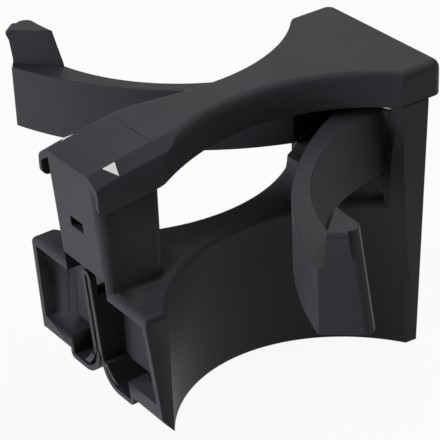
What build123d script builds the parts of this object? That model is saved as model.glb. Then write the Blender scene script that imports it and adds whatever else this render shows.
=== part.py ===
from build123d import *
import math
import os

# Cup wells: two vertical cylinders, one each side of the middle plane
cup_radius = 45.4
cup_x = 44.25
waist_half = 4.85
cup_y = waist_half + cup_radius
wall = 1.7
thin_wall = 1.4

# Lower block and ledge
ledge_z = 42.0
ledge_round = 2.0
front_lean = 4.5
block_half_top = 25.25
block_flare = 3.9
foot_z = 12.9
heel_x = 7.0
bottom_slope = 4.92

# Open front end
floor_z = 15.9
lobe_z = 10.25
lobe_half = 14.25
lobe_round = 1.6
slot_half = 0.5
slot_mouth_z = 21.0
hairpin_z = 43.9
pocket_depth = 12.5
web_wall = 1.6

# Pillar
pillar_half = 10.6
pillar_back_x = 16.0
pillar_face_z = 45.0
pillar_round = 2.2
snap_width = 5.5
snap_height = 2.8
snap_z = 57.0

# Column
seam_z = 69.4
column_end_x = 88.6
column_half_top = 22.7
end_draft = 3.2
side_draft = 0.85
corner_x = 80.4
window_edge_x = 78.4
deck_z = 49.5
deck_setback = 4.0
nose_x = 66.0
nose_sweep = 8.0
column_round = 1.0

# Cap
cap_top_z = 78.5
cap_depth = 9.0
cap_front_x = -2.75
cap_end_x = 93.75
cap_front_half = 12.9
cap_waist_half = 6.2
cap_waist_radius = 47.0
cap_shoulder_round = 6.0
cap_bend_x = 41.0
cap_bend_radius = 217.0
cap_wall = 1.6
cap_skin = 1.8
cap_edge_round = 2.6
cap_corner_round = 2.0
cap_land_z = 75.2
cap_side_inset = 0.5
crease_half = 8.6
facet_angle = 30.0

# Arms
arm_low_z = 50.0
arm_high_z = 67.25
convex_x = 104.1
convex_y = 90.15
convex_radius = 87.7
concave_x = 81.4
concave_y = 67.55
concave_radius = 50.8
tip_x = 20.3
tip_y = 64.25
tip_angle = 41.0
tip_round = 0.8
root_x = 79.5
arm_edge_round = 0.8

# Finger tab
tab_top_z = 76.75
tab_length = 10.4
tab_angle = 41.3
tab_thickness = 4.6
tab_rake = 12.0

# Pivot
pivot_x = 82.0
pivot_y = 16.4
hub_radius = 3.3
pin_radius = 1.25
pin_running_gap = 0.05
pin_seat_gap = 0.02
pin_seat = 6.0
arm_gap = 0.4

# Torsion spring
wire_radius = 0.4
coil_turns = 5
coil_gap = 0.12

# Marks
mark_low_x = 1.6
mark_high_x = 5.3
mark_reach = 3.4
mark_thickness = 0.12

middle_x = (cap_front_x + cap_end_x) / 2
ledge_skin_drop = 0.6
facet_pitch_share = 0.75
boss_radius = 2.6
leg_angle = 13.0
leg_length = 7.0
foot_depth = 2.5
end_leg = 3.6
thrust_gap = 0.1
mark_lag = -0.6
joint_swell = 1.2
coil_pitch_share = 0.9
rim_z = ledge_z - ledge_round
bottom_back_x = column_end_x - seam_z * math.tan(math.radians(end_draft))
far = 200.0


def rise(run, degrees):
    return run * math.tan(math.radians(degrees))


def front_x(z):
    return rise(rim_z - z, front_lean)


def block_half(z):
    return block_half_top + rise(rim_z - z, block_flare)


def end_x(z):
    return column_end_x - rise(seam_z - z, end_draft)


def column_half(z):
    return column_half_top + rise(seam_z - z, side_draft)


def bottom_z(x):
    return rise(bottom_back_x - x, bottom_slope)


def tapered(z_low, z_high, front, back, half):
    sections = []
    for z in (z_low, z_high):
        length = back(z) - front(z)
        sections.append(Pos(front(z) + length / 2, 0, z) * Rectangle(length, 2 * half(z)))
    return loft(sections)


def cup_wells(radius):
    well = Pos(cup_x, cup_y, 0) * Cylinder(radius, far)
    return well + mirror(well, about=Plane.XZ)


def side_prism(points, half):
    face = make_face(Polyline(*points, close=True))
    return extrude(Plane.XZ * face, amount=half, both=True)


def end_prism(face, x_low, x_high):
    turned = Plane(origin=(x_low, 0, 0), x_dir=(0, 1, 0), z_dir=(1, 0, 0)) * face
    return extrude(turned, amount=x_high - x_low)


def lobe_face(inset, top):
    inner_edge = slot_half + inset
    low = lobe_z + inset
    outer_edge = lobe_half - inset
    corner = max(lobe_round - inset, 0.3)
    knee = Line((inner_edge, top), (inner_edge, slot_mouth_z))
    sweep_in = ThreePointArc(knee @ 1, (4.75 + 0.6 * inset, 13.5 + 0.8 * inset), (9.5, low))
    floor = Line(sweep_in @ 1, (outer_edge - corner, low))
    turn = RadiusArc(floor @ 1, (outer_edge, low + corner), -corner)
    side = Line(turn @ 1, (outer_edge, top))
    lid = Line(side @ 1, knee @ 0)
    face = make_face([knee, sweep_in, floor, turn, side, lid])
    return face + mirror(face, about=Plane.YZ)


def under_lobes():
    block = Pos(0, ledge_z / 2 - 10) * Rectangle(2 * lobe_half, ledge_z + 20)
    return block - lobe_face(0, ledge_z + 10)


def front_pocket():
    centre = lobe_face(thin_wall, floor_z + 8)
    low = floor_z + thin_wall
    high = rim_z - ledge_skin_drop
    band = Pos(0, (low + high) / 2) * Rectangle(80, high - low)
    neck_half = pillar_half - wall
    neck = Pos(0, (low + pillar_face_z) / 2) * Rectangle(2 * neck_half, pillar_face_z - low)
    fold_half = slot_half + thin_wall
    fold = Pos(0, (hairpin_z - fold_half) / 2) * Rectangle(2 * fold_half, hairpin_z - fold_half)
    fold += Pos(0, hairpin_z - fold_half) * Circle(fold_half)
    return centre + band + neck - fold


def block_core(z_low, z_high, x_low):
    core = tapered(z_low, z_high, lambda z: x_low, lambda z: cup_x, lambda z: block_half(z) - wall)
    return core - cup_wells(cup_radius + wall)


def column_core(z_low, z_high, x_low):
    core = tapered(z_low, z_high, lambda z: x_low, lambda z: end_x(z) - wall,
                   lambda z: column_half(z) - wall)
    return core - cup_wells(cup_radius + wall)


def lower_shell():
    front = tapered(-2, ledge_z, front_x, lambda z: cup_x, block_half)
    back = tapered(-2, ledge_z, lambda z: cup_x, end_x, column_half)
    solid = front + back - cup_wells(cup_radius)
    edges = solid.edges().filter_by(lambda e: abs(e.center().Z - ledge_z) < 0.01)
    edges = edges.filter_by(lambda e: e.center().X < corner_x - 1)
    solid = fillet(edges, ledge_round)
    slope = [(-20, -20), (-20, foot_z), (front_x(foot_z), foot_z), (heel_x, bottom_z(heel_x)),
             (120, bottom_z(120)), (120, -20)]
    return solid - side_prism(slope, 60)


def hollow_block(solid):
    web_back = pocket_depth + web_wall
    solid -= end_prism(under_lobes(), -10, web_back)
    solid -= end_prism(front_pocket(), -10, pocket_depth) & block_core(0, pillar_face_z, -10)
    slot_top = hairpin_z - thin_wall
    solid -= Pos(web_back / 2 - 5, 0, slot_top / 2) * Box(web_back + 10, 2 * slot_half, slot_top)
    skin_z = ledge_z - wall
    solid -= block_core(-5, skin_z, web_back)
    foot_core = block_core(-5, floor_z, front_x(foot_z) + thin_wall)
    side = Pos(0, lobe_half + thin_wall + 20, 0) * Box(2 * web_back, 40, 80)
    solid -= foot_core & (side + mirror(side, about=Plane.XZ))
    solid -= column_core(-5, skin_z, cup_x)
    return solid


def deck():
    outer = tapered(rim_z, deck_z, lambda z: nose_x - nose_sweep, end_x, column_half)
    outer -= cup_wells(cup_radius + deck_setback)
    base = Polyline((nose_x, deck_z), (end_x(deck_z), deck_z), (end_x(rim_z), rim_z),
                    (nose_x - nose_sweep, rim_z), (nose_x - nose_sweep, ledge_z))
    sweep_up = ThreePointArc((nose_x - nose_sweep, ledge_z),
                             (nose_x - 0.33 * nose_sweep, ledge_z + 0.3 * (deck_z - ledge_z)),
                             (nose_x, deck_z))
    profile = make_face([base, sweep_up])
    return outer & extrude(Plane.XZ * profile, amount=40, both=True)


def column_walls():
    low = rim_z
    outer = tapered(low, seam_z, lambda z: window_edge_x, end_x, column_half)
    outer -= cup_wells(cup_radius)
    inner = column_core(low, seam_z, cup_x)
    return outer - inner


def pillar():
    top_front = cap_under_z(front_x(ledge_z + 30))
    outline = [(front_x(rim_z), rim_z), (front_x(top_front), top_front),
               (pillar_back_x, cap_under_z(pillar_back_x)), (pillar_back_x, rim_z)]
    solid = side_prism(outline, pillar_half)
    edges = solid.edges().filter_by(lambda e: abs(e.tangent_at(0.5).Z) > 0.9)
    return fillet(edges, pillar_round)


def pillar_core():
    top = cap_under_z(front_x(ledge_z + 30)) + 10
    low = rim_z - 3
    outline = [(front_x(low) + wall, low), (front_x(top) + wall, top),
               (pillar_back_x - wall, top), (pillar_back_x - wall, low)]
    return side_prism(outline, pillar_half - wall)


def snap_window():
    return Pos(0, 0, snap_z) * Box(2 * wall + 4, snap_width, snap_height)


def make_body():
    body = lower_shell()
    body += pillar()
    body += deck()
    body += column_walls()
    body = hollow_block(body)
    body -= pillar_core()
    mouth = Pos(0, 0, (pillar_face_z + rim_z) / 2 - 1) * Box(
        2 * wall + 4, 2 * (pillar_half - wall), pillar_face_z - rim_z + 2)
    body -= mouth & end_prism(front_pocket(), -10, pocket_depth)
    body -= column_core(-5, deck_z - wall, nose_x + wall) - cup_wells(cup_radius + deck_setback + wall)
    body -= snap_window()
    return body


def cap_under_z(x):
    return cap_top(x) - cap_skin


def cap_top(x):
    if x >= cap_bend_x:
        return cap_top_z
    run = cap_bend_x - x
    return cap_top_z - cap_bend_radius + math.sqrt(cap_bend_radius ** 2 - run ** 2)


def cap_outline(inset, front_extra=0.0):
    radius = cap_waist_radius + inset
    centre_y = cap_waist_half + cap_waist_radius
    corner_y = cup_y - math.sqrt(cup_radius ** 2 - (corner_x - cup_x) ** 2)
    corner_half = corner_y - cap_side_inset
    centre_x = corner_x - math.sqrt(cap_waist_radius ** 2 - (centre_y - corner_half) ** 2)
    half = cap_front_half - inset
    side = corner_half - inset
    shoulder_x = centre_x - math.sqrt(radius ** 2 - (centre_y - half) ** 2)
    corner = centre_x + math.sqrt(radius ** 2 - (centre_y - side) ** 2)
    near = cap_front_x - front_extra
    end = cap_end_x - inset
    waist = centre_y - radius
    upper = [Line((near, -half), (near, half)), Line((near, half), (shoulder_x, half)),
             ThreePointArc((shoulder_x, half), (centre_x, waist), (corner, side)),
             Line((corner, side), (end, side)), Line((end, side), (end, -side)),
             Line((end, -side), (corner, -side)),
             ThreePointArc((corner, -side), (centre_x, -waist), (shoulder_x, -half)),
             Line((shoulder_x, -half), (near, -half))]
    face = make_face(upper)
    shoulders = face.vertices().filter_by(lambda v: abs(v.X - shoulder_x) < 0.01)
    face = fillet(shoulders, cap_shoulder_round - inset)
    ends = face.vertices().filter_by(lambda v: abs(v.X - end) < 0.01)
    return fillet(ends, max(cap_corner_round - inset, 0.3))


def cap_side(inset, below):
    top_z = cap_top_z - inset
    radius = cap_bend_radius - inset
    start_x = cap_front_x - 5
    bend_z = cap_top_z - cap_bend_radius
    low_radius = cap_bend_radius - cap_depth - below
    low_z = cap_top_z - cap_depth - below

    def on_bend(r, x):
        return bend_z + math.sqrt(r ** 2 - (cap_bend_x - x) ** 2)

    mid_x = (start_x + cap_bend_x) / 2
    slant = (cap_end_x - end_x(seam_z) - cap_side_inset) / (cap_land_z - seam_z)
    end_top = cap_end_x - inset
    land = cap_land_z
    end_low = end_top - slant * (land - low_z)
    edges = [ThreePointArc((start_x, on_bend(radius, start_x)), (mid_x, on_bend(radius, mid_x)),
                           (cap_bend_x, top_z)),
             Polyline((cap_bend_x, top_z), (end_top, top_z), (end_top, land), (end_low, low_z),
                      (cap_bend_x, low_z)),
             ThreePointArc((cap_bend_x, low_z), (mid_x, on_bend(low_radius, mid_x)),
                           (start_x, on_bend(low_radius, start_x))),
             Line((start_x, on_bend(low_radius, start_x)), (start_x, on_bend(radius, start_x)))]
    return extrude(Plane.XZ * make_face(edges), amount=40, both=True)


def facet_cut(inset):
    crease_z = cap_top(cap_front_x) - inset
    lift = inset * math.tan(math.radians(facet_angle / 2))
    wedge = make_face(Polyline((crease_half - lift, crease_z), (crease_half - lift + 40, crease_z - rise(40, facet_angle)),
                               (crease_half - lift + 40, crease_z + 40), (crease_half - lift, crease_z + 40),
                               close=True))
    wedge = end_prism(wedge, cap_front_x - 30, cup_x)
    pitch = math.degrees(math.asin((cap_bend_x - cap_front_x) / cap_bend_radius))
    wedge = wedge.rotate(Axis((cap_front_x, 0, crease_z), (0, 1, 0)), -pitch * facet_pitch_share)
    return wedge + mirror(wedge, about=Plane.XZ)


def make_cap():
    outer = extrude(Pos(0, 0, 50) * cap_outline(0), amount=40) & cap_side(0, 0)
    outer -= facet_cut(0)
    inner = extrude(Pos(0, 0, 50) * cap_outline(cap_wall, 20), amount=40) & cap_side(cap_skin, 5)
    inner -= facet_cut(cap_skin)
    return outer - inner


def blade_face():
    tip = Vector(tip_x, tip_y)
    along = Vector(math.cos(math.radians(tip_angle)), math.sin(math.radians(tip_angle)))
    low = tip - along * 6
    high = tip + along * 20
    clip = make_face(Polyline((low.X, low.Y), (high.X, high.Y), (root_x, high.Y), (root_x, pivot_y - hub_radius),
                              (root_x - 11, pivot_y - hub_radius - 5), (pillar_back_x, 0), close=True))
    convex = Pos(convex_x, convex_y) * Circle(convex_radius)
    concave = Pos(concave_x, concave_y) * Circle(concave_radius)
    hub = Pos(pivot_x, pivot_y) * Circle(hub_radius)
    return ((convex & clip) - concave) + hub


def tab_section(z, corners):
    return Pos(0, 0, z) * make_face(Polyline(*corners, close=True))


def make_tab():
    base = [(20.7, 65.2), (31.1, 57.6), (30.6, 64.5), (27.4, 70.2)]
    top = [(20.9, 67.15), (28.75, 60.25), (28.8, 65.55), (24.0, 70.1)]
    tab = loft([tab_section(arm_high_z - 0.01, base), tab_section(tab_top_z, top)])
    return fillet(tab.edges().filter_by(lambda e: e.center().Z > arm_high_z + 1), 0.7)


def make_arm():
    arm = extrude(Pos(0, 0, arm_low_z) * blade_face(), amount=arm_high_z - arm_low_z)
    arm += make_tab()
    bore = Pos(pivot_x, pivot_y, 0) * Cylinder(pin_radius + pin_running_gap, far)
    socket = Pos(spring_foot().X, spring_foot().Y, arm_high_z) * Cylinder(wire_radius + coil_gap, 2 * foot_depth)
    return arm - bore - socket


def pin_low():
    return deck_z - pin_seat


def pin_high():
    return arm_high_z + arm_gap + pin_seat


def make_pin():
    length = pin_high() - pin_low()
    pin = Pos(pivot_x, pivot_y, pin_low() + length / 2) * Cylinder(pin_radius, length)
    return chamfer(pin.edges(), 0.2)


def coil_radius():
    return boss_radius + coil_gap + wire_radius


def coil_start():
    angle = math.radians(leg_angle - 90)
    return Vector(pivot_x + coil_radius() * math.cos(angle), pivot_y + coil_radius() * math.sin(angle))


def leg_direction():
    angle = math.radians(leg_angle)
    return Vector(-math.cos(angle), -math.sin(angle))


def spring_foot():
    return coil_start() + leg_direction() * leg_length


def wire(start, direction, length):
    plane = Plane(origin=start, z_dir=direction)
    return extrude(plane * Circle(wire_radius), amount=length) + Pos(start) * Sphere(joint_swell * wire_radius)


def make_spring():
    low = arm_high_z + arm_gap + joint_swell * wire_radius
    pitch = coil_pitch_share * 2 * wire_radius
    section = Sketch() + [Pos(coil_radius(), n * pitch) * RegularPolygon(wire_radius, 8) for n in range(coil_turns)]
    coil = Pos(pivot_x, pivot_y, low) * revolve(Plane.XZ * section, axis=Axis.Z)
    start = coil_start() + Vector(0, 0, low)
    end = start + Vector(0, 0, (coil_turns - 1) * pitch)
    foot = start + leg_direction() * leg_length
    spring = coil + wire(start, leg_direction(), leg_length)
    spring += wire(foot, Vector(0, 0, -1), foot_depth + arm_gap)
    return spring + wire(end, leg_direction() * -1, end_leg)


def cap_boss():
    low = arm_high_z + arm_gap
    boss = Pos(pivot_x, pivot_y, (low + cap_top_z - cap_skin / 2) / 2) * Cylinder(
        boss_radius, cap_top_z - cap_skin / 2 - low)
    bore = Pos(pivot_x, pivot_y, (low + pin_high()) / 2) * Cylinder(
        pin_radius + pin_seat_gap, pin_high() - low)
    return boss, bore


def both(shape):
    return shape + mirror(shape, about=Plane.XZ)


def body_boss():
    low = deck_z - pin_seat
    boss = Pos(pivot_x, pivot_y, (low + deck_z - wall / 2) / 2) * Cylinder(hub_radius, deck_z - wall / 2 - low)
    ring = Pos(pivot_x, pivot_y, deck_z) * Cylinder(hub_radius, 2 * (arm_low_z - deck_z - thrust_gap))
    bore = Pos(pivot_x, pivot_y, 0) * Cylinder(pin_radius + pin_seat_gap, far)
    return boss + ring, bore


def mark_plane():
    pitch = math.asin((cap_bend_x - cap_front_x) / cap_bend_radius) * facet_pitch_share
    slope = math.radians(facet_angle)
    along = Vector(math.cos(pitch), 0, math.sin(pitch))
    down = Vector(math.sin(slope) * math.sin(pitch), math.cos(slope), -math.sin(slope) * math.cos(pitch))
    origin = Vector(cap_front_x, crease_half, cap_top(cap_front_x))
    return Plane(origin=origin, x_dir=along, z_dir=along.cross(down))


def make_mark():
    outline = Polyline((mark_low_x - cap_front_x, 0.15), (mark_high_x - cap_front_x, 0.15),
                       (mark_high_x - cap_front_x + mark_lag, mark_reach), close=True)
    return extrude(mark_plane() * make_face(outline), amount=mark_thickness)


body_add, body_bore = body_boss()
cap_add, cap_bore = cap_boss()
cap = make_cap() + both(cap_add) - both(cap_bore)
body = make_body() - make_cap() + both(body_add) - both(body_bore)
parts = {"body": body, "top_cap": cap}
pieces = {"arm": make_arm(), "pivot_pin": make_pin(), "torsion_spring": make_spring(), "mark": make_mark()}
for name, piece in pieces.items():
    parts[f"{name}_left"] = piece
    parts[f"{name}_right"] = mirror(piece, about=Plane.XZ)

os.makedirs("parts", exist_ok=True)
for name, shape in parts.items():
    placed = Pos(-middle_x, 0, 0) * shape
    export_step(placed, f"parts/{name}.step")
    print(name, shape.is_valid, round(shape.volume, 1), len(shape.solids()), shape.bounding_box())
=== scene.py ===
import math

import bmesh
import bpy
from mathutils import Matrix, Vector


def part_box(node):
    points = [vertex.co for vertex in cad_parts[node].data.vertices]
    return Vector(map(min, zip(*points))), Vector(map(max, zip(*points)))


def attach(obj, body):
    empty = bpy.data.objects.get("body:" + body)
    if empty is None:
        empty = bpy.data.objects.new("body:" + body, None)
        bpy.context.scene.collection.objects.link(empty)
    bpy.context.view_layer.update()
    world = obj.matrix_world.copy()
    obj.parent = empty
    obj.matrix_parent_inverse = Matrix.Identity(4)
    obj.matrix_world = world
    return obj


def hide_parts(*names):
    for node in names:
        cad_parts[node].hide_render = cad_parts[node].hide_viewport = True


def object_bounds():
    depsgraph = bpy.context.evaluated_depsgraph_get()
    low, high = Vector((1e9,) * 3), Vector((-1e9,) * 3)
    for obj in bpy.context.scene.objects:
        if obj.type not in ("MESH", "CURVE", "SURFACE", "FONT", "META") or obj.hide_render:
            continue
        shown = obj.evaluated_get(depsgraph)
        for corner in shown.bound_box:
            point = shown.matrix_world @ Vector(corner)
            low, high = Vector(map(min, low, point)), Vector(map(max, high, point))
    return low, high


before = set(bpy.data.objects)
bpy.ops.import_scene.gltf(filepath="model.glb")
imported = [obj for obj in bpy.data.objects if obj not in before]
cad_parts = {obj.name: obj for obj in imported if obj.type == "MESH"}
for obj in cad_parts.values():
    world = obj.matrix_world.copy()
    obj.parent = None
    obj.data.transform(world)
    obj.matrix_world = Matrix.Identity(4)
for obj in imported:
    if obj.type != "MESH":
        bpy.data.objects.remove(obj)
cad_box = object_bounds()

MM = 0.001

# Camera, solved from the mirror-symmetric edges of the object
VIEW_AZIMUTH = -34.866
VIEW_ELEVATION = 30.634
VIEW_ROLL = -2.448
VIEW_TARGET = (-0.00582, -0.00036, 0.04284)
VIEW_DISTANCE = 0.5
FOCAL_PIXELS = 2000.0
FRAME_PIXELS = 440.0
SENSOR_WIDTH = 36.0
NEAR_CLIP = 0.01

# Studio lamps: name, place and size in metres, and power in watts
LAMPS = (
    ("back_light", (0.42, 0.6, 0.6), 0.8, 2.4),
    ("top_light", (0.4, -0.12, 0.85), 0.8, 4.6),
    ("left_light", (-0.9, 0.2, 0.25), 0.7, 11.0),
    ("right_light", (0.7, -0.7, 0.3), 0.5, 0.4),
)
LAMP_AIM = (0, 0, 0.04)
WORLD_LIGHT = 0.03
FLOOR_SIZE = 6
FLOOR_GREY = 0.6
FLOOR_WHITE = 0.93
WHITE = (1, 1, 1, 1)

# Finishes: colour, roughness, size of the grain and width of the worn edge in millimetres
BLACK_PLASTIC = ((0.034, 0.033, 0.040), 0.5, 0.35, 0.3)
WHITE_INK = ((0.85, 0.85, 0.85), 0.5, 0.2, 0.02)
STEEL = ((0.4, 0.4, 0.4), 0.45, 0.2, 0.1)

# Faint flow shading and fine grain of the mouldings
FLOW_SCALE = 45.0
FLOW_DETAIL = 3.0
FLOW_DARK = 0.88
FLOW_PALE = 1.12
FLOW_ENDS = (0.3, 0.7)
GRAIN_DETAIL = 2.0
GRAIN_ROUGHNESS = 0.05
GRAIN_STRENGTH = 0.25
GRAIN_DEPTH = 0.02
EDGE_SAMPLES = 6
PLASTIC_IOR = 1.5
SHEEN_LEVEL = 0.12

# Mesh work: joining distances in millimetres, angles, levels and steps
JOIN_WITHIN = 0.002
PACKED_JOIN = 0.001
SLIVER = 0.001
SMOOTH_UP_TO = math.radians(26)
LEAST_ROUND = 0.3
NEARLY_UP = 0.9
HALF_UP = 0.5
NEARLY_SIDEWAYS = 0.3
ROUND_STEPS = 192
EASE_STEPS = 8
ON_LEVEL = 0.01
ON_SURFACE = 0.1


def in_mm(node):
    """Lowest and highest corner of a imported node, in millimetres."""
    return [Vector(corner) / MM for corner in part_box(node)]


# Depths and heights that tie the pieces together, in millimetres, as all sizes below
CAP_DEPTH = 9.1
CAP_OVERHANG = 5.15
COLUMN_CORNER = 8.2
ARM_HEIGHT = 17.25

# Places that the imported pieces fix
cap_low, cap_high = in_mm("top_cap")
pin_low, pin_high = in_mm("pivot_pin_left")
arm_low, arm_high = in_mm("arm_left")
PIVOT = (pin_low + pin_high) / 2
CAP_FRONT = cap_low.x
CAP_END = cap_high.x
CAP_TOP = cap_high.z
SEAM = CAP_TOP - CAP_DEPTH
COLUMN_END = CAP_END - CAP_OVERHANG
CORNER_X = COLUMN_END - COLUMN_CORNER
ARM_BOTTOM = arm_low.z
ARM_TOP = ARM_BOTTOM + ARM_HEIGHT
TAB_TOP = arm_high.z

# Cup wells
CUP_RADIUS = 45.4
CUP_X = -1.25
CUP_GAP_HALF = 4.85

# Cap shell
FRONT_HALF = 12.9
SHOULDER_X = -30.5
SHOULDER_HALF = 13.6
SHOULDER_ROUND = 6.0
SHOULDER_AIM = 0.5
SHOULDER_CLEAR = 2.5
FORE_STEPS = 16
AFT_STEPS = 26
WAIST_X = -1.5
WAIST_HALF = 6.3
BEND_X = -4.5
BEND_RADIUS = 217.0
BEND_STEPS = 24
HEM_X = 4.5
HEM_RADIUS = 333.0
HEM_ROUND = 2.0
CAP_WALL = 1.6
CAP_SKIN = 1.8
CAP_EDGE_ROUND = 2.4
CAP_EDGE_STEPS = 6
CAP_CORNER_ROUND = 3.0
LAND_DROP = 3.3
SIDE_INSET = 0.4
CREASE_HALF = 8.6
FACET_ANGLE = math.radians(30)
FACET_SLOPE = math.tan(FACET_ANGLE)
FACET_REACH = 12
FACET_RISE = 5
FACET_LEAD = 25
FACET_STEPS = 40
CHAMFER_HALF = 12.2
CHAMFER_SLOPE = math.tan(math.radians(62))
CORNER_HALF = CUP_GAP_HALF + CUP_RADIUS - math.sqrt(CUP_RADIUS ** 2 - (CORNER_X - CUP_X) ** 2)
BLANK_DEPTH = 12
HOLLOW_BELOW = 5
HOLLOW_BEFORE = 20
BOSS_RADIUS = 2.6
BOSS_GAP = 0.4
BORE_STEPS = 48

# Arms, measured from the pivot
CONVEX_CENTRE = (22.1, 73.75)
CONVEX_RADIUS = 87.7
CONCAVE_CENTRE = (-0.6, 51.15)
CONCAVE_RADIUS = 51.2
CONCAVE_SLOPE = math.tan(math.radians(5.5))
TIP = (-61.7, 47.85)
TIP_ANGLE = math.radians(41)
HUB_RADIUS = 3.3
PIN_BORE = 1.3
ARM_ROUND = 0.6
ARM_ROUND_STEPS = 3
TIP_ROUND = 2.4
CONVEX_STEPS = 360
CONCAVE_STEPS = 256
HUB_STEPS = 64

# Rough outline of the arm's blade, before its round faces are cut
END_FROM = -6
END_TO = 24
ROOT_RUN = 2.5
ROOT_FLARE = (11, 5)
ROOT_FRONT_X = -29.5

# How far the arm's cutting tools reach past it
CLEAR = 5
CORE_CLEAR = 10
END_CLEAR = 1
ROUND_ALONG = 2.5
ROUND_INWARD = 2
ROUND_OUTWARD = 5
ROUND_BEYOND = 2.5

# Finger tab on each arm
TAB_FRONT = 1.4
TAB_LEAN = math.tan(math.radians(5.5))
TAB_TURN = math.radians(7)
TAB_LENGTH = 12.6
TAB_CORNER_ROUND = 2.6
TAB_FLARE = 2.2
TAB_SINK = 1
TAB_BACK = 24
TAB_START = -4
TAB_RUN = 28
MASK_HALF = 30
LIP_REACH = 1.5
LIP_DROP = 1.2
LIP_EDGE = LIP_DROP / 3
LIP_SWELL = 1.5
LIP_BASE = 1.95

# Front end of the lower block
SLOT_HALF = 0.5
LOBE_LOW = 10.25
LOBE_HALF = 14.25
LOBE_TOP = 20.0
LOBE_RIM = 16.8
LOBE_SWEEP = 7.0
LOBE_CORNER = 1.6
LOBE_SWEEP_STEPS = 10
LOBE_CORNER_STEPS = 6
LOBE_FRONT = -43.3
LOBE_REACH = 10.0
THIN_WALL = 1.4
POCKET_BACK = -36.9
POCKET_FILL = 5.0
POCKET_LEVELS = (16.5, 41.0)
POCKET_SIDES = (1.2, 24.5)

# Window between pillar and column
WINDOW_LIFT = 0.5
WINDOW_EDGE = 9.0
WINDOW_LEAN = math.tan(math.radians(4.4))
WINDOW_FRONT_X = 20
WINDOW_HALF = 30

# Printed marks
MARK_LOW_X = -44.0
MARK_HIGH_X = -40.55
MARK_START = 0.2
MARK_REACH = 3.8
MARK_LAG = -1.3
MARK_THICKNESS = 0.1


def place_camera():
    """The camera that took the photograph's view."""
    azimuth = math.radians(VIEW_AZIMUTH)
    elevation = math.radians(VIEW_ELEVATION)
    roll = math.radians(VIEW_ROLL)
    back = Vector((math.sin(azimuth) * math.cos(elevation), -math.cos(azimuth) * math.cos(elevation),
                   math.sin(elevation)))
    level_right = Vector((math.cos(azimuth), math.sin(azimuth), 0))
    level_up = back.cross(level_right)
    right = level_right * math.cos(roll) + level_up * math.sin(roll)
    up = back.cross(right)
    camera = bpy.data.cameras.new("camera")
    camera.sensor_width = SENSOR_WIDTH
    camera.lens = FOCAL_PIXELS / FRAME_PIXELS * SENSOR_WIDTH
    camera.clip_start = NEAR_CLIP
    stand = bpy.data.objects.new("camera", camera)
    turn = Matrix((right, up, back)).transposed().to_4x4()
    stand.matrix_world = Matrix.Translation(Vector(VIEW_TARGET) + back * VIEW_DISTANCE) @ turn
    bpy.context.scene.collection.objects.link(stand)
    bpy.context.scene.camera = stand


def area_light(name, place, size, power):
    """A soft round lamp that points at the object's middle."""
    lamp = bpy.data.lights.new(name, "AREA")
    lamp.shape = "DISK"
    lamp.size = size
    lamp.energy = power
    stand = bpy.data.objects.new(name, lamp)
    direction = Vector(LAMP_AIM) - Vector(place)
    turn = direction.to_track_quat("-Z", "Y").to_matrix().to_4x4()
    stand.matrix_world = Matrix.Translation(Vector(place)) @ turn
    bpy.context.scene.collection.objects.link(stand)


def studio():
    """All the lamps."""
    for name, place, size, power in LAMPS:
        area_light(name, place, size, power)


def node_tree(material):
    """An empty node tree for the material."""
    material.use_nodes = True
    tree = material.node_tree
    tree.nodes.clear()
    return tree


def white_to_camera(tree, surface, background, white_share):
    """Mix a share of plain white into a lit surface, for camera, glossy and transmission rays."""
    path = tree.nodes.new("ShaderNodeLightPath")
    glossy = tree.nodes.new("ShaderNodeMath")
    glossy.operation = "MAXIMUM"
    tree.links.new(path.outputs["Is Camera Ray"], glossy.inputs[0])
    tree.links.new(path.outputs["Is Glossy Ray"], glossy.inputs[1])
    either = tree.nodes.new("ShaderNodeMath")
    either.operation = "MAXIMUM"
    tree.links.new(glossy.outputs[0], either.inputs[0])
    tree.links.new(path.outputs["Is Transmission Ray"], either.inputs[1])
    share = tree.nodes.new("ShaderNodeMath")
    share.operation = "MULTIPLY"
    share.inputs[1].default_value = white_share
    tree.links.new(either.outputs[0], share.inputs[0])
    mix = tree.nodes.new("ShaderNodeMixShader")
    tree.links.new(share.outputs[0], mix.inputs[0])
    tree.links.new(surface.outputs[0], mix.inputs[1])
    tree.links.new(background.outputs[0], mix.inputs[2])
    return mix


def studio_world():
    """White to the camera, and nearly dark to the object."""
    world = bpy.data.worlds.new("studio")
    bpy.context.scene.world = world
    world.use_nodes = True
    tree = world.node_tree
    tree.nodes.clear()
    dim = tree.nodes.new("ShaderNodeBackground")
    dim.inputs["Color"].default_value = WHITE
    dim.inputs["Strength"].default_value = WORLD_LIGHT
    white = tree.nodes.new("ShaderNodeBackground")
    white.inputs["Color"].default_value = WHITE
    white.inputs["Strength"].default_value = 1.0
    path = tree.nodes.new("ShaderNodeLightPath")
    mix = tree.nodes.new("ShaderNodeMixShader")
    tree.links.new(path.outputs["Is Camera Ray"], mix.inputs[0])
    tree.links.new(dim.outputs[0], mix.inputs[1])
    tree.links.new(white.outputs[0], mix.inputs[2])
    out = tree.nodes.new("ShaderNodeOutputWorld")
    tree.links.new(mix.outputs[0], out.inputs["Surface"])


def studio_floor():
    """A pale floor that keeps the object's shadow."""
    bpy.ops.mesh.primitive_plane_add(size=FLOOR_SIZE, location=(0, 0, cad_box[0][2]))
    floor = bpy.context.object
    floor.name = "floor"
    material = bpy.data.materials.new("pale_floor")
    tree = node_tree(material)
    lit = tree.nodes.new("ShaderNodeBsdfDiffuse")
    lit.inputs["Color"].default_value = (FLOOR_GREY, FLOOR_GREY, FLOOR_GREY, 1)
    white = tree.nodes.new("ShaderNodeEmission")
    white.inputs["Color"].default_value = WHITE
    white.inputs["Strength"].default_value = 1.0
    mix = white_to_camera(tree, lit, white, FLOOR_WHITE)
    out = tree.nodes.new("ShaderNodeOutputMaterial")
    tree.links.new(mix.outputs[0], out.inputs["Surface"])
    floor.data.materials.append(material)


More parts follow.
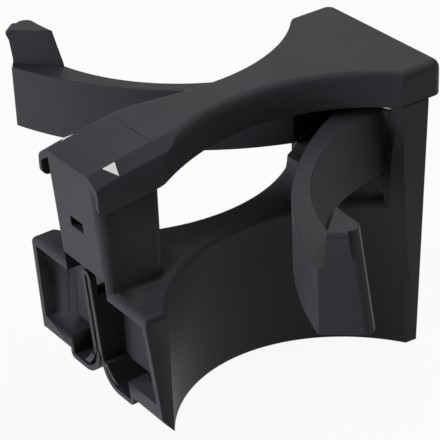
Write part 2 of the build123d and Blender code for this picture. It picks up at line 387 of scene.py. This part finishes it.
def satin_finish(name, colour, roughness, grain_mm, edge_mm):
    """Satin finish with a fine grain, faint flow shading and slightly rounded edges."""
    material = bpy.data.materials.new(name)
    tree = node_tree(material)
    place = tree.nodes.new("ShaderNodeTexCoord")
    flow = tree.nodes.new("ShaderNodeTexNoise")
    flow.inputs["Scale"].default_value = FLOW_SCALE
    flow.inputs["Detail"].default_value = FLOW_DETAIL
    tree.links.new(place.outputs["Object"], flow.inputs["Vector"])
    tint = tree.nodes.new("ShaderNodeValToRGB")
    for end, position, share in zip(tint.color_ramp.elements, FLOW_ENDS, (FLOW_DARK, FLOW_PALE)):
        end.position = position
        end.color = (*[share * c for c in colour], 1)
    tree.links.new(flow.outputs["Fac"], tint.inputs[0])
    grain = tree.nodes.new("ShaderNodeTexNoise")
    grain.inputs["Scale"].default_value = 1.0 / (grain_mm * MM)
    grain.inputs["Detail"].default_value = GRAIN_DETAIL
    tree.links.new(place.outputs["Object"], grain.inputs["Vector"])
    rough = tree.nodes.new("ShaderNodeMapRange")
    rough.inputs["To Min"].default_value = roughness - GRAIN_ROUGHNESS
    rough.inputs["To Max"].default_value = roughness + GRAIN_ROUGHNESS
    tree.links.new(grain.outputs["Fac"], rough.inputs["Value"])
    edge = tree.nodes.new("ShaderNodeBevel")
    edge.samples = EDGE_SAMPLES
    edge.inputs["Radius"].default_value = edge_mm * MM
    bump = tree.nodes.new("ShaderNodeBump")
    bump.inputs["Strength"].default_value = GRAIN_STRENGTH
    bump.inputs["Distance"].default_value = GRAIN_DEPTH * MM
    tree.links.new(grain.outputs["Fac"], bump.inputs["Height"])
    tree.links.new(edge.outputs["Normal"], bump.inputs["Normal"])
    skin = tree.nodes.new("ShaderNodeBsdfPrincipled")
    skin.inputs["IOR"].default_value = PLASTIC_IOR
    skin.inputs["Specular IOR Level"].default_value = SHEEN_LEVEL
    tree.links.new(tint.outputs["Color"], skin.inputs["Base Color"])
    tree.links.new(rough.outputs["Result"], skin.inputs["Roughness"])
    tree.links.new(bump.outputs["Normal"], skin.inputs["Normal"])
    out = tree.nodes.new("ShaderNodeOutputMaterial")
    tree.links.new(skin.outputs["BSDF"], out.inputs["Surface"])
    return material


def finish(piece, material):
    """Give every face of the piece one material."""
    piece.data.materials.clear()
    piece.data.materials.append(material)
    for face in piece.data.polygons:
        face.material_index = 0


def prism(name, corners, reach):
    """A flat outline of corners, pushed along reach into a closed solid."""
    bpy.ops.object.select_all(action="DESELECT")
    bpy.ops.mesh.primitive_circle_add(vertices=len(corners), fill_type="NGON")
    piece = bpy.context.object
    piece.name = name
    for vertex, corner in zip(piece.data.vertices, corners):
        vertex.co = Vector(corner) * MM
    extrude_on(piece, [reach])
    return piece


def extrude_on(piece, steps):
    """Extrude the selected end face once along each step, then turn the faces outwards."""
    bpy.ops.object.mode_set(mode="EDIT")
    bpy.ops.mesh.select_all(action="SELECT")
    for step in steps:
        bpy.ops.mesh.extrude_region_move(TRANSFORM_OT_translate={"value": Vector(step) * MM})
    bpy.ops.mesh.select_all(action="SELECT")
    bpy.ops.mesh.normals_make_consistent(inside=False)
    bpy.ops.object.mode_set(mode="OBJECT")


def sweep(name, section, path):
    """A section across x that is carried along a path of (x, rise) stations."""
    bpy.ops.object.select_all(action="DESELECT")
    bpy.ops.mesh.primitive_circle_add(vertices=len(section), fill_type="NGON")
    piece = bpy.context.object
    piece.name = name
    first_x, first_rise = path[0]
    for vertex, (y, z) in zip(piece.data.vertices, section):
        vertex.co = Vector((first_x, y, z + first_rise)) * MM
    extrude_on(piece, [(b[0] - a[0], 0, b[1] - a[1]) for a, b in zip(path, path[1:])])
    return piece


def turned(name, place, low, high, low_radius, high_radius=None, steps=ROUND_STEPS):
    """An upright round bar or cone between two heights."""
    bpy.ops.object.select_all(action="DESELECT")
    top_radius = low_radius if high_radius is None else high_radius
    middle = Vector((place[0], place[1], (low + high) / 2))
    bpy.ops.mesh.primitive_cone_add(vertices=steps, radius1=low_radius * MM, radius2=top_radius * MM,
                                    depth=(high - low) * MM, location=middle * MM)
    bpy.ops.object.transform_apply(location=True, rotation=True, scale=True)
    bpy.context.object.name = name
    return bpy.context.object


def mirrored(piece, name):
    """A copy of the piece on the other side of the middle plane, faces outwards."""
    copy = piece.copy()
    copy.data = piece.data.copy()
    copy.name = name
    bpy.context.scene.collection.objects.link(copy)
    copy.data.transform(Matrix.Scale(-1, 4, (0, 1, 0)))
    copy.data.flip_normals()
    return copy


def carve(piece, tool, operation):
    """Join, cut or intersect a piece with a tool, which is used up."""
    bpy.ops.object.select_all(action="DESELECT")
    bpy.context.view_layer.objects.active = piece
    piece.select_set(True)
    change = piece.modifiers.new("carve", "BOOLEAN")
    change.operation = operation
    change.object = tool
    change.solver = "MANIFOLD"
    bpy.ops.object.modifier_apply(modifier=change.name)
    bpy.data.objects.remove(tool)


def round_edges(piece, wanted, radius, steps):
    """Bevel the edges that wanted(ends, normals) picks, by a radius in millimetres."""
    bpy.ops.object.select_all(action="DESELECT")
    bpy.context.view_layer.objects.active = piece
    piece.select_set(True)
    bpy.context.tool_settings.mesh_select_mode = (False, True, False)
    bpy.ops.object.mode_set(mode="EDIT")
    bpy.ops.mesh.select_all(action="DESELECT")
    shape = bmesh.from_edit_mesh(piece.data)
    for edge in shape.edges:
        ends = [vertex.co / MM for vertex in edge.verts]
        if len(edge.link_faces) == 2 and wanted(ends, [face.normal for face in edge.link_faces]):
            edge.select_set(True)
    bmesh.update_edit_mesh(piece.data)
    bpy.ops.mesh.bevel(offset=radius * MM, segments=steps, affect="EDGES", clamp_overlap=False)
    bpy.ops.object.mode_set(mode="OBJECT")


def settle(piece, body, slot, *nodes):
    """Smooth the piece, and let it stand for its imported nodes."""
    bpy.ops.object.select_all(action="DESELECT")
    bpy.context.view_layer.objects.active = piece
    piece.select_set(True)
    bpy.ops.object.mode_set(mode="EDIT")
    bpy.ops.mesh.select_all(action="SELECT")
    bpy.ops.mesh.remove_doubles(threshold=JOIN_WITHIN * MM)
    bpy.ops.mesh.dissolve_degenerate(threshold=SLIVER * MM)
    bpy.ops.object.mode_set(mode="OBJECT")
    bpy.ops.object.shade_smooth_by_angle(angle=SMOOTH_UP_TO)
    even = piece.modifiers.new("even", "WEIGHTED_NORMAL")
    even.keep_sharp = True
    bpy.ops.object.modifier_apply(modifier=even.name)
    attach(piece, body)
    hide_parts(*nodes)


def eased(before, corner, after, radius, steps=EASE_STEPS):
    """Points of the arc that takes the place of a corner."""
    corner = Vector(corner)
    to_before = (Vector(before) - corner).normalized()
    to_after = (Vector(after) - corner).normalized()
    half_angle = to_before.angle(to_after) / 2
    reach = radius / math.tan(half_angle)
    centre = corner + (to_before + to_after).normalized() * radius / math.sin(half_angle)
    first = corner + to_before * reach - centre
    last = corner + to_after * reach - centre
    return [tuple(centre + first.lerp(last, n / steps).normalized() * radius) for n in range(steps + 1)]


def spread(start, end, count):
    """Evenly spaced values from start to end."""
    return [start + (end - start) * n / count for n in range(count + 1)]


def cap_top_at(x):
    """Height of the cap's top, which bends down towards the front."""
    run = max(BEND_X - x, 0)
    return CAP_TOP - BEND_RADIUS + math.sqrt(BEND_RADIUS ** 2 - run ** 2)


def cap_hem_at(x, below):
    """Height of the cap's lower edge, or of a line a little below it."""
    run = max(HEM_X - x, 0)
    radius = HEM_RADIUS + below
    return SEAM - below - radius + math.sqrt(radius ** 2 - run ** 2)


def waist_arc(far_x, far_half, waist):
    """Half width along the arc that leaves the waist level and ends at a far point."""
    run = far_x - WAIST_X
    widening = far_half - waist
    radius = (run ** 2 + widening ** 2) / (2 * widening)

    def half_at(x):
        return waist + radius - math.sqrt(radius ** 2 - (x - WAIST_X) ** 2)

    return half_at


def cap_outline(inset, front_extra):
    """Plan of the cap, from the front end round the left side to the right."""
    waist = WAIST_HALF - inset
    near = CAP_FRONT - front_extra
    end = CAP_END - inset
    side = CORNER_HALF - SIDE_INSET - inset
    front_half = FRONT_HALF - inset
    shoulder = (SHOULDER_X, SHOULDER_HALF - inset)
    fore = waist_arc(*shoulder, waist)
    aft = waist_arc(CORNER_X, side, waist)
    after_x = SHOULDER_X + SHOULDER_AIM
    left = [(near, front_half)]
    left += eased((near, front_half), shoulder, (after_x, fore(after_x)), SHOULDER_ROUND - inset)
    left += [(x, fore(x)) for x in spread(SHOULDER_X + SHOULDER_CLEAR, WAIST_X, FORE_STEPS)]
    left += [(x, aft(x)) for x in spread(WAIST_X, CORNER_X, AFT_STEPS)[1:]]
    left += eased((CORNER_X, side), (end, side), (end, 0), max(CAP_CORNER_ROUND - inset, LEAST_ROUND))
    return left + [(x, -half) for x, half in reversed(left)]


def cap_profile(inset, below, front_extra):
    """Side view of the cap: the bent top, the sloped end and the bent hem."""
    near = CAP_FRONT - front_extra
    end = CAP_END - inset
    land = CAP_TOP - LAND_DROP
    slant = (CAP_END - COLUMN_END - SIDE_INSET) / (SEAM - land)
    low = SEAM - below
    points = [(x, cap_top_at(x) - inset) for x in spread(near, BEND_X, BEND_STEPS)]
    points += [(end, CAP_TOP - inset), (end, land), (end - slant * (land - low), low)]
    hem = [(x, cap_hem_at(x, below)) for x in spread(HEM_X, near, BEND_STEPS)]
    if inset == 0:
        corner = hem.pop()
        while hem[-1][0] < near + HEM_ROUND:
            hem.pop()
        hem += eased(hem[-1], corner, (near, cap_top_at(near)), HEM_ROUND)
    return points + hem


def facet_wedge(drop, start, slope):
    """What a sloped facet takes off: it starts that far from the middle and that far below the top."""
    level = CAP_TOP - drop
    far = start + FACET_REACH
    section = [(start, level), (far, level - FACET_REACH * slope), (far, level + FACET_RISE),
               (start, level + FACET_RISE)]
    path = [(x, cap_top_at(x) - CAP_TOP) for x in spread(CAP_FRONT - FACET_LEAD, BEND_X, FACET_STEPS)]
    return sweep("facet_wedge", section, path)


def cap_blank(inset, below, front_extra):
    """The cap's plan, cut to its side view."""
    plan = cap_outline(inset, front_extra)
    low = SEAM - BLANK_DEPTH
    blank = prism("cap_blank", [(x, y, low) for x, y in plan], (0, 0, CAP_TOP + FACET_RISE - low))
    side = cap_profile(inset, below, front_extra)
    reach = 2 * CORNER_HALF
    side_view = prism("cap_side", [(x, -reach, z) for x, z in side], (0, 2 * reach, 0))
    carve(blank, side_view, "INTERSECT")
    return blank


def cut_facets(blank, drop, start, slope):
    """Cut the same facet on both sides of the cap."""
    wedge = facet_wedge(drop, start, slope)
    other = mirrored(wedge, "facet_wedge_right")
    carve(blank, wedge, "DIFFERENCE")
    carve(blank, other, "DIFFERENCE")


def make_cap():
    """The hollow cap, open below, with a boss for each pin."""
    cap = cap_blank(0, 0, 0)

    def on_top(ends, normals):
        high = all(abs(end.z - cap_top_at(end.x)) < ON_SURFACE for end in ends)
        level = max(normal.z for normal in normals) > NEARLY_UP
        steep = min(abs(normal.z) for normal in normals) < NEARLY_SIDEWAYS
        return high and level and steep and max(end.x for end in ends) > CAP_FRONT + ON_SURFACE

    round_edges(cap, on_top, CAP_EDGE_ROUND, CAP_EDGE_STEPS)
    cut_facets(cap, 0, CREASE_HALF, FACET_SLOPE)
    cut_facets(cap, (CHAMFER_HALF - CREASE_HALF) * FACET_SLOPE, CHAMFER_HALF, CHAMFER_SLOPE)
    hollow = cap_blank(CAP_WALL, HOLLOW_BELOW, HOLLOW_BEFORE)
    cut_facets(hollow, CAP_SKIN, CREASE_HALF - CAP_SKIN * math.tan(FACET_ANGLE / 2), FACET_SLOPE)
    carve(cap, hollow, "DIFFERENCE")
    for side in (1, -1):
        place = (PIVOT.x, side * PIVOT.y)
        low = ARM_TOP + BOSS_GAP
        high = CAP_TOP - CAP_SKIN / 2
        carve(cap, turned("boss", place, low, high, BOSS_RADIUS, steps=BORE_STEPS), "UNION")
        carve(cap, turned("bore", place, ARM_TOP, pin_high.z, PIN_BORE, steps=BORE_STEPS), "DIFFERENCE")
    cap.name = "cap_shell"
    settle(cap, "holder", "cap_plastic", "top_cap")
    return cap


def merged_copy(node, name):
    """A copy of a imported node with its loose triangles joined."""
    copy = bpy.data.objects.new(name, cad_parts[node].data.copy())
    bpy.context.scene.collection.objects.link(copy)
    bpy.ops.object.select_all(action="DESELECT")
    bpy.context.view_layer.objects.active = copy
    copy.select_set(True)
    bpy.ops.object.mode_set(mode="EDIT")
    bpy.ops.mesh.select_all(action="SELECT")
    bpy.ops.mesh.remove_doubles(threshold=PACKED_JOIN * MM)
    bpy.ops.object.mode_set(mode="OBJECT")
    return copy


def lobe_path(inset):
    """Half of the hanging lobes seen from the front: down the slot, round the floor and up."""
    inner = SLOT_HALF + inset
    low = LOBE_LOW + inset
    outer = LOBE_HALF - inset
    corner = max(LOBE_CORNER - inset, LEAST_ROUND)
    sweep_in = eased((inner, LOBE_TOP), (inner, low), (outer, low), LOBE_SWEEP - inset, LOBE_SWEEP_STEPS)
    turn = eased((inner, low), (outer, low), (outer, LOBE_TOP), corner, LOBE_CORNER_STEPS)
    return [(inner, LOBE_TOP)] + sweep_in + turn + [(outer, LOBE_RIM)]


def lobe():
    """One hanging lobe: a thin wall of even thickness, open at the front."""
    ring = lobe_path(0) + list(reversed(lobe_path(THIN_WALL)))
    return prism("lobe", [(LOBE_FRONT, y, z) for y, z in ring], (LOBE_REACH, 0, 0))


def pocket_back():
    """The wall at the back of each front pocket, cut to the round of the cup well."""
    low, high = POCKET_LEVELS
    near, far = POCKET_SIDES
    corners = [(POCKET_BACK, near, low), (POCKET_BACK, far, low), (POCKET_BACK, far, high),
               (POCKET_BACK, near, high)]
    back = prism("pocket_back", corners, (POCKET_FILL, 0, 0))
    well = turned("cup_well", (CUP_X, CUP_GAP_HALF + CUP_RADIUS), 0, CAP_TOP, CUP_RADIUS + THIN_WALL / 2)
    carve(back, well, "DIFFERENCE")
    return back


def window_cut():
    """What leans the window's rear edge, from the deck up to the seam."""
    low = ARM_BOTTOM + WINDOW_LIFT
    high = CAP_TOP
    rear = COLUMN_END - WINDOW_EDGE
    corners = [(WINDOW_FRONT_X, low), (rear - (SEAM - low) * WINDOW_LEAN, low),
               (rear + (high - SEAM) * WINDOW_LEAN, high), (WINDOW_FRONT_X, high)]
    return prism("window_cut", [(x, -WINDOW_HALF, z) for x, z in corners], (0, 2 * WINDOW_HALF, 0))


def make_body():
    """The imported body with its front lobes, pocket backs and leaning window edge."""
    body = merged_copy("body", "holder_body")
    for make in (lobe, pocket_back):
        piece = make()
        other = mirrored(piece, "other_side")
        carve(body, piece, "UNION")
        carve(body, other, "UNION")
    carve(body, window_cut(), "DIFFERENCE")
    settle(body, "holder", "body_plastic", "body")
    return body


# Directions at the end face of the left arm
ACROSS = Vector((math.cos(TIP_ANGLE), math.sin(TIP_ANGLE), 0))
INWARD = Vector((math.sin(TIP_ANGLE), -math.cos(TIP_ANGLE), 0))
TIP_POINT = Vector((PIVOT.x + TIP[0], PIVOT.y + TIP[1], 0))
UP = Vector((0, 0, 1))


def at_tip(across, inward, z):
    """A point beside the arm's end face: across it, in from it, and at a height."""
    return TIP_POINT + ACROSS * across + INWARD * inward + UP * z


def blade():
    """The arm's blade: its plan, cut to the round of the convex face."""
    low = at_tip(END_FROM, 0, 0)
    high = at_tip(END_TO, 0, 0)
    root_x = PIVOT.x - ROOT_RUN
    back, flare = ROOT_FLARE
    corners = [low, high, (root_x, high.y, 0), (root_x, PIVOT.y - HUB_RADIUS, 0),
               (root_x - back, PIVOT.y - HUB_RADIUS - flare, 0), (ROOT_FRONT_X, 0, 0)]
    piece = prism("blade", [(x, y, ARM_BOTTOM) for x, y, z in corners], (0, 0, ARM_TOP - ARM_BOTTOM))
    centre = (PIVOT.x + CONVEX_CENTRE[0], PIVOT.y + CONVEX_CENTRE[1])
    round_face = turned("convex", centre, ARM_BOTTOM - CLEAR, TAB_TOP, CONVEX_RADIUS, steps=CONVEX_STEPS)
    carve(piece, round_face, "INTERSECT")
    return piece


def tab():
    """The finger tab: a leaning slab, cut to its side view."""
    base = ARM_TOP - TAB_SINK

    def front(z):
        return TAB_FRONT + (z - ARM_TOP) * TAB_LEAN

    aim = INWARD * math.cos(TAB_TURN) + ACROSS * math.sin(TAB_TURN)
    section = [(front(base), base), (front(TAB_TOP), TAB_TOP), (TAB_BACK, TAB_TOP), (TAB_BACK, base)]
    corners = [TIP_POINT + ACROSS * a + UP * z + aim * TAB_START for a, z in section]
    slab = prism("tab", corners, aim * TAB_RUN)
    top_corner = (TAB_LENGTH, TAB_TOP)
    low_corner = (TAB_LENGTH + TAB_FLARE, base)
    profile = [(0, base), (0, ARM_TOP + LIP_BASE), (-LIP_REACH / 2, TAB_TOP - LIP_DROP - LIP_SWELL),
               (-LIP_REACH, TAB_TOP - LIP_DROP), (-LIP_REACH, TAB_TOP - LIP_EDGE),
               (-LIP_REACH / 2, TAB_TOP)]
    profile += eased((0, TAB_TOP), top_corner, low_corner, TAB_CORNER_ROUND)
    profile.append(low_corner)
    outline = [at_tip(-MASK_HALF, inward, z) for inward, z in profile]
    side_view = prism("tab_side", outline, ACROSS * (2 * MASK_HALF))
    carve(slab, side_view, "INTERSECT")
    return slab


def lofted(name, low_ring, high_ring):
    """A closed solid between two rings that have the same number of points."""
    piece = prism(name, low_ring, UP)
    middle = low_ring[0].z + UP.z / 2
    for vertex in piece.data.vertices:
        point = vertex.co / MM
        if point.z > middle:
            match = min(range(len(low_ring)), key=lambda n: (low_ring[n].xy - point.xy).length)
            vertex.co = high_ring[match] * MM
    return piece


def sharp_end_ring(z):
    """Plan of what the rounding takes off the sharp edge beside the concave face."""
    centre = Vector((PIVOT.x + CONCAVE_CENTRE[0], PIVOT.y + CONCAVE_CENTRE[1], 0))
    radius = CONCAVE_RADIUS + (z - ARM_TOP) * CONCAVE_SLOPE
    to_tip = TIP_POINT - centre
    along = to_tip.dot(ACROSS)
    width = -along - math.sqrt(along ** 2 - to_tip.length_squared + radius ** 2)
    corner = TIP_POINT + ACROSS * width
    bearing = math.atan2(corner.y - centre.y, corner.x - centre.x) + ROUND_ALONG * TIP_ROUND / radius
    on_concave = centre + Vector((math.cos(bearing), math.sin(bearing), 0)) * radius
    arc = [Vector((x, y, z)) for x, y in eased(TIP_POINT.xy, corner.xy, on_concave.xy, TIP_ROUND)]
    to_centre = (centre - corner).normalized()
    return arc + [arc[-1] + to_centre * ROUND_INWARD,
                  corner + UP * z + ACROSS * ROUND_OUTWARD - INWARD * ROUND_BEYOND,
                  arc[0] - INWARD * ROUND_BEYOND]


def sharp_end():
    """What rounds the sharp edge, from below the arm to above the tab."""
    return lofted("sharp_end", sharp_end_ring(ARM_BOTTOM - END_CLEAR), sharp_end_ring(TAB_TOP + END_CLEAR))


def make_arms():
    """Both arms: blade, tab, rounded end block and hub, bored for the pin."""
    arm = blade()
    carve(arm, tab(), "UNION")
    centre = (PIVOT.x + CONCAVE_CENTRE[0], PIVOT.y + CONCAVE_CENTRE[1])
    low = ARM_BOTTOM - CORE_CLEAR
    high = TAB_TOP + CORE_CLEAR
    core = turned("concave", centre, low, high, CONCAVE_RADIUS + (low - ARM_TOP) * CONCAVE_SLOPE,
                  CONCAVE_RADIUS + (high - ARM_TOP) * CONCAVE_SLOPE, steps=CONCAVE_STEPS)
    carve(arm, core, "DIFFERENCE")
    carve(arm, sharp_end(), "DIFFERENCE")
    carve(arm, turned("hub", PIVOT, ARM_BOTTOM, ARM_TOP, HUB_RADIUS, steps=HUB_STEPS), "UNION")

    def on_blade_top(ends, normals):
        level = all(abs(end.z - ARM_TOP) < ON_LEVEL for end in ends)
        return level and min(normal.z for normal in normals) < HALF_UP

    round_edges(arm, on_blade_top, ARM_ROUND, ARM_ROUND_STEPS)
    carve(arm, turned("bore", PIVOT, ARM_BOTTOM - CLEAR, TAB_TOP, PIN_BORE, steps=BORE_STEPS), "DIFFERENCE")
    arm.name = "arm_blade_left"
    other = mirrored(arm, "arm_blade_right")
    settle(arm, "left_arm", "arm_plastic", "arm_left")
    settle(other, "right_arm", "arm_plastic", "arm_right")
    return arm, other


def make_marks():
    """The two printed triangles, laid on the cap's facets."""
    x = (MARK_LOW_X + MARK_HIGH_X) / 2
    half = (MARK_HIGH_X - MARK_LOW_X) / 2
    pitch = math.asin((BEND_X - x) / BEND_RADIUS)
    slope = math.atan(FACET_SLOPE)
    along = Vector((math.cos(pitch), 0, math.sin(pitch)))
    down = Vector((math.sin(slope) * math.sin(pitch), math.cos(slope), -math.sin(slope) * math.cos(pitch)))
    normal = along.cross(down)
    origin = Vector((x, CREASE_HALF, cap_top_at(x))) - normal * MARK_THICKNESS
    corners = [(-half, MARK_START), (half, MARK_START), (half + MARK_LAG, MARK_REACH)]
    mark = prism("printed_mark_left", [origin + along * a + down * b for a, b in corners],
                 normal * 2 * MARK_THICKNESS)
    other = mirrored(mark, "printed_mark_right")
    settle(mark, "holder", "mark_white", "mark_left")
    settle(other, "holder", "mark_white", "mark_right")
    return mark, other


place_camera()
studio()
studio_world()
studio_floor()
bpy.context.scene.view_settings.view_transform = "Standard"

black_plastic = satin_finish("black_plastic", *BLACK_PLASTIC)
white_ink = satin_finish("white_ink", *WHITE_INK)
steel = satin_finish("steel", *STEEL)
steel.node_tree.nodes["Principled BSDF"].inputs["Metallic"].default_value = 1.0
for piece in [make_body(), make_cap(), *make_arms()]:
    finish(piece, black_plastic)
for piece in make_marks():
    finish(piece, white_ink)
for node in ("pivot_pin_left", "pivot_pin_right", "torsion_spring_left", "torsion_spring_right"):
    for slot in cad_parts[node].material_slots:
        slot.material = steel
